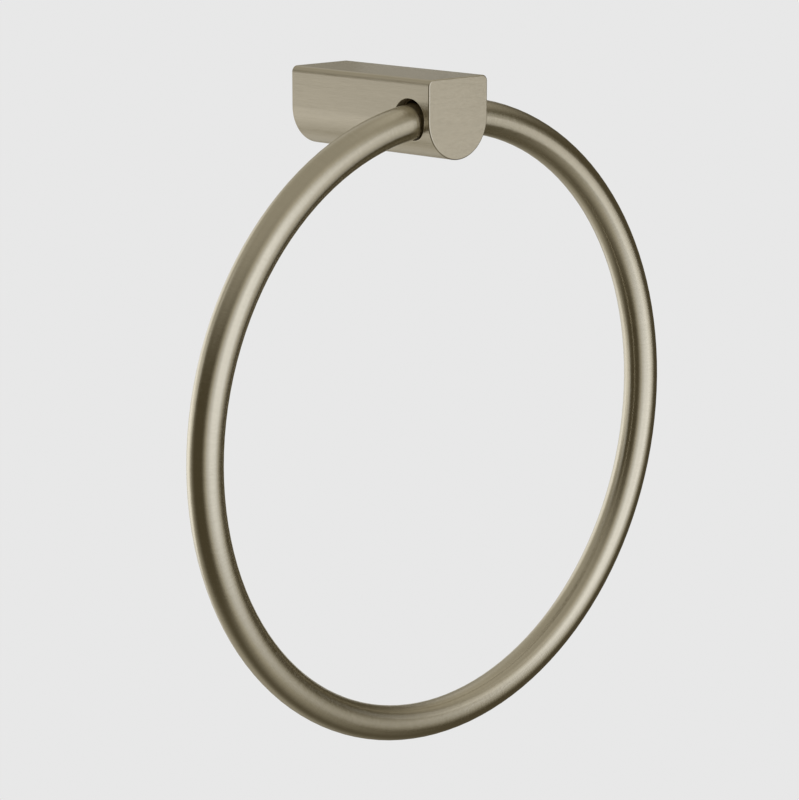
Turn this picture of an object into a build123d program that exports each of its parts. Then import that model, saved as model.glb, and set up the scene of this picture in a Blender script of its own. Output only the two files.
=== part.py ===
from build123d import *

import os
from math import cos, degrees, sin, sqrt

# Wall-mounted towel holder: a ring of round tube that swings in the nose of a D-section post.
#
# The post is a hollow casting. It slides over a block that is screwed to the wall, and a grub
# screw from below holds it there. The ring is one length of tube, rolled round, passed through
# the post's cross bore and closed on a pin that the bore hides. Two plastic bushes in the bore
# carry it.
#
# Millimetres. The origin is on the wall, in the middle of the post's width and level with its
# cross bore. +X is to the right of someone who faces the wall, +Y goes into the wall, +Z is up.

# Ring
ring_diameter = 209.0  # to the middle of the tube
tube_diameter = 12.0
tube_wall = 1.2
seam_gap = 0.2  # between the tube's two ends, where the ring is closed

# Spigot inside the tube, across the seam
spigot_length = 24.0
spigot_gap = 0.05  # all round, filled by glue
spigot_lead = 0.5  # chamfer at each end

# Bushes in the cross bore
bush_wall = 0.5
bush_fit = 0.05  # round each bush, in the bore
bush_recess = 1.0  # from the bore's mouth, where that is lowest, to the bush
bush_spacing = 8.0  # between the two bushes
ring_play = 0.02  # left round the curved tube once it has passed a straight bush
rest_gap = 0.05  # under the tube, where it rests on the bushes' outer ends

# Post
post_width = 27.5  # across the flat sides, and twice the radius of the underside
post_height = 27.5  # flat top to the lowest line of the underside
post_length = 66.5  # wall to front face
top_corner = 2.2  # radius along the two top edges
front_edge = 0.45  # radius round the front face
nose_wall = 2.45  # metal in front of the bore
mouth_edge = 0.15  # radius round each mouth of the bore

# Pocket in the post, open to the wall
skin = 2.6  # at the sides, at the top and before the bore
pocket_corner = 1.2  # radius along the inside edges
pocket_end = 1.0  # radius round the blind end
floor_depth = 4.5  # metal that the grub screw is threaded through

# Block on the wall
block_depth = 9.0
block_gap = 0.2  # round the block, in the pocket
block_lead = 0.6  # chamfer round its front, for the post to start on
screw_hole = 4.6
screw_head = 8.0
screw_margin = 0.5  # block left above and below the two countersinks
countersink_angle = 90

# Grub screw, through the floor and into the block
grub_diameter = 5.0
grub_recess = 0.6  # from the lowest line of the post to the screw
grub_fit = 0.03  # round the screw, in its threaded hole
grub_tip = 2.0  # diameter of the flat on its point
grub_bite = 1.2  # how far the point goes into the block
grub_seat = 0.05  # between the point and its seat
socket_size = 2.5  # across the flats of the hexagon
socket_depth = 2.4

# The tube's curve drops by this much from mid post to the post's sides, and the bushes pass it
tube_radius = tube_diameter / 2
ring_radius = ring_diameter / 2
inside_radius = ring_radius - tube_radius
post_half = post_width / 2
tube_drop = inside_radius - sqrt(inside_radius**2 - post_half**2)
bush_bore = tube_radius + tube_drop / 2 + ring_play
bush_radius = bush_bore + bush_wall
bore_radius = bush_radius + bush_fit

# The bore opens through the round underside, so its mouth is lowest inside the flat sides
mouth_reach = sqrt(post_half**2 - bore_radius**2)
bush_reach = mouth_reach - bush_recess

# The ring hangs with the inside of its tube on the outer ends of the bushes
bore_y = nose_wall + bore_radius - post_length
ring_z = rest_gap - bush_bore - sqrt(inside_radius**2 - bush_reach**2)
ring_centre = Vector(0, bore_y, ring_z)
ring_axis = Axis(ring_centre, (0, 1, 0))

# Heights in the post, from the middle of its round underside
post_top = post_height - post_half
pocket_half = post_half - skin
pocket_top = post_top - skin
pocket_floor = floor_depth - post_half
pocket_depth = post_length - nose_wall - 2 * bore_radius - skin
block_floor = pocket_floor + block_gap
block_top = pocket_top - block_gap
screw_middle = (block_floor + block_top) / 2
screw_spacing = block_top - block_floor - screw_head - 2 * screw_margin

# The grub screw stands at the middle of the block's depth, square to these planes
floor_plane = Plane((0, -block_depth / 2, -post_half))
grub_plane = floor_plane.offset(grub_recess)
seat_plane = floor_plane.offset(floor_depth + block_gap)
grub_length = floor_depth + block_gap + grub_bite - grub_recess


def pocket_section(gap):
    """The pocket's outline drawn in by a gap: a D on its side, with a level floor."""
    half = pocket_half - gap
    with BuildSketch(Plane.XZ) as section:
        Circle(half)
        Rectangle(2 * half, pocket_top - gap, align=(Align.CENTER, Align.MIN))
        with Locations((0, pocket_floor + gap)):
            Rectangle(2 * half, half, align=(Align.CENTER, Align.MAX), mode=Mode.SUBTRACT)
        fillet(section.vertices().group_by(Axis.Y)[-1], pocket_corner - gap)
        fillet(section.vertices().group_by(Axis.Y)[0], pocket_corner - gap)
    return section.sketch


def across_tube(travel):
    """Plane across the ring's tube, this far along the tube from the top of the ring."""
    turn = travel / ring_radius
    outward = Vector(sin(turn), 0, cos(turn))
    along = Vector(cos(turn), 0, -sin(turn))
    return Plane(ring_centre + outward * ring_radius, x_dir=(0, 1, 0), z_dir=along)


def turn_of(travel):
    """Degrees round the ring for a length along the middle of its tube."""
    return degrees(travel / ring_radius)


# Core that forms the pocket
with BuildPart() as core:
    extrude(pocket_section(0), amount=pocket_depth)
    fillet(core.faces().sort_by(Axis.Y)[0].edges(), pocket_end)

# Post: flat top and sides, half-round underside, closed front
with BuildPart() as post:
    with BuildSketch(Plane.XZ) as post_section:
        Circle(post_half)
        Rectangle(post_width, post_top, align=(Align.CENTER, Align.MIN))
        fillet(post_section.vertices().group_by(Axis.Y)[-1], top_corner)
    extrude(amount=post_length)
    fillet(post.faces().sort_by(Axis.Y)[0].edges(), front_edge)
    add(core.part, mode=Mode.SUBTRACT)
    with BuildSketch(Plane.YZ) as bore_section:
        with Locations((bore_y, 0)):
            Circle(bore_radius)
    extrude(amount=post_half, both=True, mode=Mode.SUBTRACT)
    fillet(post.edges(Select.LAST).filter_by(GeomType.LINE, reverse=True), mouth_edge)
    with BuildSketch(floor_plane) as thread_section:
        Circle(grub_diameter / 2 + grub_fit)
    extrude(amount=floor_depth, mode=Mode.SUBTRACT)
post.part.label = "post"

# Bushes: one short sleeve at each mouth of the bore
bushes = {}
for name, side in (("left_bush", -1), ("right_bush", 1)):
    with BuildPart() as bush:
        with BuildSketch(Plane.YZ.offset(side * bush_reach)) as bush_section:
            with Locations((bore_y, 0)):
                Circle(bush_radius)
                Circle(bush_bore, mode=Mode.SUBTRACT)
        extrude(amount=-side * (bush_reach - bush_spacing / 2))
    bush.part.label = name
    bushes[name] = bush.part

# Ring: hollow tube, rolled round, with its seam at the top, inside the post
with BuildPart() as ring:
    with BuildSketch(across_tube(seam_gap / 2)) as tube_section:
        Circle(tube_radius)
        Circle(tube_radius - tube_wall, mode=Mode.SUBTRACT)
    revolve(axis=ring_axis, revolution_arc=360 - turn_of(seam_gap))
ring.part.label = "ring"

# Spigot: a turned pin, bent to the ring's curve and glued into both ends of the tube
with BuildPart() as ring_spigot:
    with BuildSketch(across_tube(-spigot_length / 2)) as spigot_section:
        Circle(tube_radius - tube_wall - spigot_gap)
    revolve(axis=ring_axis, revolution_arc=turn_of(spigot_length))
    chamfer(ring_spigot.faces().filter_by(GeomType.PLANE).edges(), spigot_lead)
ring_spigot.part.label = "ring_spigot"

# Wall block: takes the two wall screws, and fills the mouth of the pocket
with BuildPart() as wall_block:
    extrude(pocket_section(block_gap), amount=block_depth)
    chamfer(wall_block.faces().sort_by(Axis.Y)[0].edges(), block_lead)
    with Locations(Plane((0, -block_depth, screw_middle), x_dir=(1, 0, 0), z_dir=(0, -1, 0))):
        with GridLocations(0, screw_spacing, 1, 2):
            CounterSinkHole(screw_hole / 2, screw_head / 2, counter_sink_angle=countersink_angle)
    with Locations(seat_plane):
        Cone(
            grub_tip / 2 + grub_bite + grub_seat,
            grub_tip / 2,
            grub_bite + grub_seat,
            align=(Align.CENTER, Align.CENTER, Align.MIN),
            mode=Mode.SUBTRACT,
        )
wall_block.part.label = "wall_block"

# Grub screw: a point that seats in the block, and a hexagon socket below
with BuildPart() as grub_screw:
    with BuildSketch(grub_plane) as grub_section:
        Circle(grub_diameter / 2)
    extrude(amount=grub_length)
    chamfer(grub_screw.faces().sort_by(Axis.Z)[-1].edges(), (grub_diameter - grub_tip) / 2)
    with BuildSketch(grub_plane) as socket_section:
        RegularPolygon(socket_size / 2, 6, major_radius=False)
    extrude(amount=socket_depth, mode=Mode.SUBTRACT)
grub_screw.part.label = "grub_screw"

os.makedirs("parts", exist_ok=True)
pieces = [
    post.part,
    *bushes.values(),
    ring.part,
    ring_spigot.part,
    wall_block.part,
    grub_screw.part,
]
for piece in pieces:
    export_step(piece, f"parts/{piece.label}.step")
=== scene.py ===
import math

import bmesh
import bpy
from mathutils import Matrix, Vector


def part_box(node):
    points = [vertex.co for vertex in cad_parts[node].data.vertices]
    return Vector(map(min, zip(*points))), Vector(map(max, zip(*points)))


# Wall-mounted towel holder in brushed nickel: a ring that swings in the nose of a short post.
# Metres. +X is to the right of someone who faces the wall, +Y goes into the wall, +Z is up.
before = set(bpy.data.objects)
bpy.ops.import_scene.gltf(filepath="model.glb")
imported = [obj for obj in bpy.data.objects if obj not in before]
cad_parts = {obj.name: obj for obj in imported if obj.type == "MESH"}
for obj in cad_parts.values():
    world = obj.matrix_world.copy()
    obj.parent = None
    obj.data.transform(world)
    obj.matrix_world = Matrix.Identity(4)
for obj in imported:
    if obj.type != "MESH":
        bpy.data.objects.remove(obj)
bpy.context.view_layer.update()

# Post
# One hollow casting, D-shaped in section, closed at the front and bored across near it. It is
# plated with nickel and brushed with a belt: lengthwise on its sides, crosswise on its front.
side_stretch = 0.02  # along a brush line, against 1 across it
front_stretch = 0.05
front_limit = -0.7  # a normal whose Y is below this is on the front face
flat_dull = (0.542, 0.507, 0.429, 1)
flat_bright = (0.727, 0.680, 0.578, 1)
flat_roughness = 0.18

# The brush doesn't reach into the cross bore, which the bushes line, so the plate stays dull there
bush_low, bush_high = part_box("left_bush")
bore_y = (bush_low.y + bush_high.y) / 2
bore_margin = 0.0001  # from the outside of a bush to just past the bore's wall
bore_reach = (bush_high.y - bush_low.y) / 2 + bore_margin
bare_plate = (0.52, 0.46, 0.34, 1)
bare_roughness = 0.6
bare_metallic = 0.5


class Shade:
    """A socket of a material's node tree. Sums on it add Math nodes."""

    def __init__(self, tree, socket=None):
        self.tree = tree
        self.socket = socket

    def node(self, kind, settings=None, sockets=None, out=0):
        """Add any node: its settings first, then its sockets' values or links."""
        made = self.tree.nodes.new(kind)
        for name, value in (settings or {}).items():
            setattr(made, name, value)
        for key, value in (sockets or {}).items():
            if isinstance(value, Shade):
                self.tree.links.new(value.socket, made.inputs[key])
            else:
                made.inputs[key].default_value = value
        return Shade(self.tree, made.outputs[out])

    def math(self, operation, *values):
        """Add a Math node on these values."""
        return self.node("ShaderNodeMath", {"operation": operation}, dict(enumerate(values)))

    def __add__(self, other):
        return self.math("ADD", self, other)

    def __radd__(self, other):
        return self.math("ADD", other, self)

    def __sub__(self, other):
        return self.math("SUBTRACT", self, other)

    def __rsub__(self, other):
        return self.math("SUBTRACT", other, self)

    def __mul__(self, other):
        return self.math("MULTIPLY", self, other)

    def __rmul__(self, other):
        return self.math("MULTIPLY", other, self)

    def place(self):
        """Where a point of the surface is, in its object's own metres."""
        return self.node("ShaderNodeTexCoord", out="Object")

    def parts(self):
        """The three numbers of a vector socket."""
        split = self.node("ShaderNodeSeparateXYZ", sockets={0: self}).socket.node
        return [Shade(self.tree, socket) for socket in split.outputs]

    def vector(self, x, y, z):
        return self.node("ShaderNodeCombineXYZ", sockets={0: x, 1: y, 2: z})

    def blend(self, kind, low, high):
        """Mix two colours or vectors by this value. The Mix node has sockets for each kind."""
        low_key, high_key, out = {"RGBA": (6, 7, 2), "VECTOR": (4, 5, 1)}[kind]
        sockets = {0: self, low_key: low, high_key: high}
        return self.node("ShaderNodeMix", {"data_type": kind}, sockets, out)

    def ramp(self, low, high):
        """Rise smoothly from 0 to 1 while this value goes from low to high."""
        settings = {"interpolation_type": "SMOOTHSTEP"}
        return self.node("ShaderNodeMapRange", settings, {0: self, 1: low, 2: high})

    def span(self, low, high):
        """Go evenly from low to high while this value goes from 0 to 1."""
        return self * (high - low) + low

    def noise(self, size, detail):
        """Noise with features of this size, in metres, on this vector."""
        sockets = {"Vector": self, "Scale": 1 / size, "Detail": detail}
        return self.node("ShaderNodeTexNoise", sockets=sockets)


def new_material(name, metallic):
    """A material with one Principled shader, and the start for its shader maths."""
    material = bpy.data.materials.new(name)
    material.use_nodes = True
    shader = material.node_tree.nodes["Principled BSDF"]
    shader.inputs["Metallic"].default_value = metallic
    return material, shader, Shade(material.node_tree)


def give(shader, socket, value):
    """Feed a socket of the Principled shader."""
    shader.id_data.links.new(value.socket, shader.inputs[socket])


def give_bump(shader, height, depth):
    """Feed the normal with a relief as deep as this, in metres."""
    sockets = {"Distance": depth, "Height": height}
    give(shader, "Normal", height.node("ShaderNodeBump", sockets=sockets))


def coat(node, material):
    """Put a material on every slot of a piece that comes with the frame."""
    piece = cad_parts[node]
    for slot in piece.material_slots:
        slot.material = material


def brushed_nickel(name, lay, roughness, dull, bright, unbrushed=None):
    """Nickel plate with brush lines, where lay(start) gives a vector across and along them.

    unbrushed(start) gives 1 where the brush doesn't reach, and 0 elsewhere.
    """
    hairline_size = 0.00016
    hairline_share = 0.6
    streak_size = 0.0011
    streak_share = 0.4
    line_detail = 2.0
    line_depth = 0.00004
    roughness_swing = 0.05
    material, shader, start = new_material(name, metallic=1.0)
    grain = lay(start)
    hairline = grain.noise(hairline_size, line_detail)
    streak = grain.noise(streak_size, line_detail)
    tone = hairline * hairline_share + streak * streak_share
    colour = tone.blend("RGBA", dull, bright)
    gloss = tone.span(roughness - roughness_swing, roughness + roughness_swing)
    if unbrushed:
        bare = unbrushed(start)
        colour = bare.blend("RGBA", colour, bare_plate)
        gloss = gloss + bare * (bare_roughness - roughness)
        give(shader, "Metallic", bare.span(1.0, bare_metallic))
    give(shader, "Base Color", colour)
    give(shader, "Roughness", gloss)
    give_bump(shader, hairline, line_depth)
    return material


def post_lay(start):
    """Lines run from wall to front on the sides, and from side to side on the front face."""
    x, y, z = start.place().parts()
    facing_y = start.node("ShaderNodeNewGeometry", out="Normal").parts()[1]
    on_front = start.math("LESS_THAN", facing_y, front_limit)
    lengthwise = start.vector(x, z, y * side_stretch)
    crosswise = start.vector(z, y, x * front_stretch)
    return on_front.blend("VECTOR", lengthwise, crosswise)


def in_bore(start):
    """1 on the wall of the cross bore, and 0 elsewhere."""
    along, y, upwards = start.place().parts()
    behind_axis = y - bore_y
    off_axis = start.math("SQRT", behind_axis * behind_axis + upwards * upwards)
    return start.math("LESS_THAN", off_axis, bore_reach)


post_nickel = brushed_nickel(
    "post_nickel", post_lay, flat_roughness, flat_dull, flat_bright, unbrushed=in_bore
)
coat("post", post_nickel)

# Bushes
# Two thin sleeves of dark nylon, pressed into the ends of the cross bore, that keep the ring
# from grinding on the casting.
nylon_dull = (0.24, 0.190, 0.118, 1)
nylon_bright = (0.29, 0.231, 0.143, 1)
nylon_roughness = (0.3, 0.4)  # least and most
nylon_grain = 0.0006
nylon, shader, start = new_material("dark_nylon", metallic=0.0)
grain = start.place().noise(nylon_grain, detail=4.0)
give(shader, "Base Color", grain.blend("RGBA", nylon_dull, nylon_bright))
give(shader, "Roughness", grain.span(*nylon_roughness))
coat("left_bush", nylon)
coat("right_bush", nylon)

# Ring
# One length of tube, rolled to a circle and closed inside the post. It is plated like the post
# and brushed round its section, so every line runs round the tube.
ring_low, ring_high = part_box("ring")
ring_centre = (ring_low + ring_high) / 2
tube_radius = (ring_high.y - ring_low.y) / 2
ring_radius = (ring_high.x - ring_low.x) / 2 - tube_radius
section_stretch = 0.05
round_dull = (0.60, 0.563, 0.471, 1)
round_bright = (0.72, 0.677, 0.569, 1)
round_roughness = 0.17


def ring_lay(start):
    """Lines run round the tube's section."""
    x, y, z = start.place().parts()
    sideways = x - ring_centre.x
    upwards = z - ring_centre.z
    round_ring = start.math("ARCTAN2", sideways, upwards) * ring_radius
    from_axis = start.math("SQRT", sideways * sideways + upwards * upwards)
    return start.vector(round_ring, from_axis * section_stretch, y * section_stretch)


coat("ring", brushed_nickel("ring_nickel", ring_lay, round_roughness, round_dull, round_bright))

# Ring spigot
# A turned brass pin, bent to the ring's curve and glued into both ends of the tube. Nothing of
# it shows, so it isn't plated.
brass_dull = (0.60, 0.44, 0.20, 1)
brass_bright = (0.74, 0.57, 0.30, 1)
brass_roughness = (0.2, 0.4)
brass_cut = 0.0003
cut_stretch = 0.05
brass, shader, start = new_material("turned_brass", metallic=1.0)
x, y, z = start.place().parts()
cuts = start.vector(x, y * cut_stretch, z * cut_stretch).noise(brass_cut, detail=2.0)
give(shader, "Base Color", cuts.blend("RGBA", brass_dull, brass_bright))
give(shader, "Roughness", cuts.span(*brass_roughness))
coat("ring_spigot", brass)

# Wall block
# A small zinc die casting with a dull, faintly uneven skin, held to the wall by two countersunk
# screws. The post slides over it.
zinc_dull = (0.34, 0.34, 0.35, 1)
zinc_bright = (0.52, 0.52, 0.53, 1)
zinc_roughness = (0.4, 0.7)
zinc_grain = 0.0012
zinc_relief = 0.00003
zinc, shader, start = new_material("cast_zinc", metallic=1.0)
skin = start.place().noise(zinc_grain, detail=5.0)
give(shader, "Base Color", skin.blend("RGBA", zinc_dull, zinc_bright))
give(shader, "Roughness", skin.span(*zinc_roughness))
give_bump(shader, skin, zinc_relief)
coat("wall_block", zinc)

# Grub screw
# A stainless screw with a hexagon socket, driven from below through the post's floor into the
# block.
steel_dull = (0.36, 0.36, 0.36, 1)
steel_bright = (0.48, 0.47, 0.46, 1)
steel_roughness = (0.25, 0.45)
steel_grain = 0.0004
steel, shader, start = new_material("plain_steel", metallic=1.0)
grain = start.place().noise(steel_grain, detail=3.0)
give(shader, "Base Color", grain.blend("RGBA", steel_dull, steel_bright))
give(shader, "Roughness", grain.span(*steel_roughness))
coat("grub_screw", steel)

# Studio
# A pale room seen through a dome that is open in front of and behind the object. The dome is
# dark at its sides and grey above. Soft lamps stand in both openings and beside them, and
# small ones stand near the post.
pale = 0.806
world = bpy.data.worlds.new("pale_room")
bpy.context.scene.world = world
world.use_nodes = True
world.node_tree.nodes["Background"].inputs["Color"].default_value = (pale, pale, pale, 1)


def studio_material(mesh, name):
    """Give a mesh of the studio an empty material, and return the start for its shader maths."""
    material = bpy.data.materials.new(name)
    material.use_nodes = True
    material.node_tree.nodes.clear()
    mesh.materials.append(material)
    return Shade(material.node_tree)


def glow(start, colour):
    """An even light of one colour."""
    return start.node("ShaderNodeEmission", sockets={"Color": colour})


def mix_shaders(factor, first, second):
    """Go from the first shader to the second while the factor goes from 0 to 1."""
    return factor.node("ShaderNodeMixShader", sockets={0: factor, 1: first, 2: second})


def show(shade):
    """Feed the surface of a studio material."""
    surface = shade.tree.nodes.new("ShaderNodeOutputMaterial")
    shade.tree.links.new(shade.socket, surface.inputs["Surface"])


dome_radius = 2.2
dome_mesh = bpy.data.meshes.new("dome")
dome_shape = bmesh.new()
bmesh.ops.create_icosphere(dome_shape, subdivisions=5, radius=dome_radius)
dome_shape.to_mesh(dome_mesh)
dome_shape.free()
dome = bpy.data.objects.new("dome", dome_mesh)
dome.location = ring_centre
dome.visible_camera = False
bpy.context.scene.collection.objects.link(dome)

# Each limit is where a ramp starts and ends, on the X, Y and Z of a direction from the middle
front_limits = (0.412, 1.002)
back_aim = (0.992, -0.127)  # Y and Z
back_limits = (0.362, 1.363)
gap_aim = (0.70, 0.714)  # X and Y
gap_limits = (0.92, 0.98)
gap_top = (0.02, -0.12)
gap_bottom = (-0.5, -0.36)
gap_share = 0.7
gauze_limits = (0.3, 1.0)
ceiling_lean = 0.06
ceiling_limits = (0.26, 0.938)
right_limits = (0.2, 0.9)
low_limits = (0.634, 1.005)
low_ends = 1.05
low_sides = 0.03
warm_white = (1.0, 0.94, 0.78, 1)
left_ceiling = (0.382, 0.355, 0.289, 1)
right_ceiling = (0.600, 0.558, 0.456, 1)
dark_wall = (0.084, 0.070, 0.042, 1)

# Three openings: in front, behind, and a small gap opposite the camera
start = studio_material(dome_mesh, "dome")
outward = start.node("ShaderNodeVectorMath", {"operation": "NORMALIZE"}, {0: start.place()})
x, y, z = outward.parts()
ahead = (y * -1.0).ramp(*front_limits)
behind = (y * back_aim[0] + z * back_aim[1]).ramp(*back_limits)
gap = (x * gap_aim[0] + y * gap_aim[1]).ramp(*gap_limits) * z.ramp(*gap_top) * z.ramp(*gap_bottom)
opening = start.math("MAXIMUM", start.math("MAXIMUM", ahead, behind), gap * gap_share)

# The lining gets lighter upwards, and downwards at the dome's two ends
height = (z + y * ceiling_lean).ramp(*ceiling_limits)
below = (z * -1.0).ramp(*low_limits) * (y * y * low_ends + low_sides)
ceiling = mix_shaders(x.ramp(*right_limits), glow(start, left_ceiling), glow(start, right_ceiling))
upper_wall = mix_shaders(height, glow(start, dark_wall), ceiling)
lining = mix_shaders(below, upper_wall, glow(start, warm_white))

# An opening starts as a warm gauze at its rim and is clear in its middle
gauze = start.node("ShaderNodeBsdfTransparent", sockets={"Color": warm_white})
clear = start.node("ShaderNodeBsdfTransparent")
window = mix_shaders(opening.ramp(*gauze_limits), gauze, clear)
show(mix_shaders(opening, lining, window))


def towards(azimuth, elevation):
    """Unit vector for two angles in degrees. Azimuth 0 is out to the room, and 90 is +X."""
    turn = math.radians(azimuth)
    rise = math.radians(elevation)
    level = math.cos(rise)
    return Vector((math.sin(turn) * level, -math.cos(turn) * level, math.sin(rise)))


def look_back(made, outwards):
    """Turn a lamp or a camera to look against this direction, with its top up."""
    made.rotation_mode = "QUATERNION"
    made.rotation_quaternion = (-outwards).to_track_quat("-Z", "Y")


def soft_lamp(name, azimuth, elevation, away, half_angle, brightness):
    """A round lamp that faces the post, placed and sized by angles in degrees as seen from there.

    Its power is its brightness times pi times its area.
    """
    outwards = towards(azimuth, elevation)
    radius = away * math.tan(math.radians(half_angle))
    lamp = bpy.data.lights.new(name, "AREA")
    lamp.shape = "DISK"
    lamp.size = 2 * radius
    lamp.energy = brightness * math.pi * math.pi * radius * radius
    made = bpy.data.objects.new(name, lamp)
    made.location = post_middle + outwards * away
    look_back(made, outwards)
    made.visible_camera = False
    bpy.context.scene.collection.objects.link(made)


post_low, post_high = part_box("post")
post_middle = (post_low + post_high) / 2

# Azimuth, elevation, metres away, half angle, brightness
soft_lamp("front_lamp", 2, 0, 2.0, 25, 0.189)
soft_lamp("front_high_lamp", 2, 20, 2.0, 14, 0.086)
soft_lamp("front_right_lamp", 32, 7, 1.2, 18, 0.06)
soft_lamp("back_lamp", 176, -12, 2.05, 26, 0.19)
soft_lamp("back_high_lamp", 179, 9, 2.05, 18, 0.25)
soft_lamp("back_left_lamp", -164, -14, 2.05, 17, 0.21)
soft_lamp("back_right_lamp", 155, -7, 2.05, 14, 0.22)
soft_lamp("right_high_lamp", 139, 31, 2.0, 20, 0.1)
soft_lamp("left_high_lamp", -145, 34, 2.0, 16, 0.05)
soft_lamp("left_lamp", -143, -18, 0.8, 14, 0.107)
soft_lamp("near_front_lamp", 45, -17, 0.25, 17, 0.22)
soft_lamp("near_left_lamp", -132, -7, 0.35, 14, 0.25)
soft_lamp("near_edge_lamp", -127, 13, 0.24, 8, 0.16)
soft_lamp("near_low_lamp", -149, -30, 0.35, 16, 0.19)
soft_lamp("near_under_lamp", 162, -40, 0.35, 16, 0.12)
soft_lamp("near_right_lamp", 129, 6, 0.345, 9, 0.105)
soft_lamp("near_mouth_lamp", 32, 10, 0.21, 13, 0.12)
soft_lamp("near_high_lamp", 80, 58, 0.25, 20, 0.06)

# Floor
# A pale floor, far below the object. The camera and reflections see it as the pale backdrop.
floor_level = -2.5
floor_reach = 30.0
floor_corners = [
    (-floor_reach, -floor_reach, floor_level),
    (floor_reach, -floor_reach, floor_level),
    (floor_reach, floor_reach, floor_level),
    (-floor_reach, floor_reach, floor_level),
]
floor_mesh = bpy.data.meshes.new("floor")
floor_mesh.from_pydata(floor_corners, [], [range(4)])
floor = bpy.data.objects.new("floor", floor_mesh)
bpy.context.scene.collection.objects.link(floor)
start = studio_material(floor_mesh, "floor")
seen = 0.0
for ray in ("Is Camera Ray", "Is Glossy Ray", "Is Transmission Ray"):
    seen = start.math("MAXIMUM", seen, start.node("ShaderNodeLightPath", out=ray))
paint = start.node("ShaderNodeBsdfDiffuse", sockets={"Color": (pale, pale, pale, 1)})
show(mix_shaders(seen, paint, glow(start, (pale, pale, pale, 1))))

# Camera
# It looks at the ring from the front, a little above and to the left.
camera_azimuth = -44.37
camera_elevation = 11.92
camera_distance = 1.0643
aim_right = -0.01292  # from the ring's centre, in the picture
aim_up = 0.00744
focal_length = 140.6
sensor_width = 36.0
back = towards(camera_azimuth, camera_elevation)
right = towards(camera_azimuth + 90, 0)
up = back.cross(right)
lens = bpy.data.cameras.new("camera")
lens.lens = focal_length
lens.sensor_width = sensor_width
camera = bpy.data.objects.new("camera", lens)
camera.location = ring_centre + right * aim_right + up * aim_up + back * camera_distance
look_back(camera, back)
bpy.context.scene.collection.objects.link(camera)
bpy.context.scene.camera = camera
bpy.context.scene.view_settings.view_transform = "Standard"
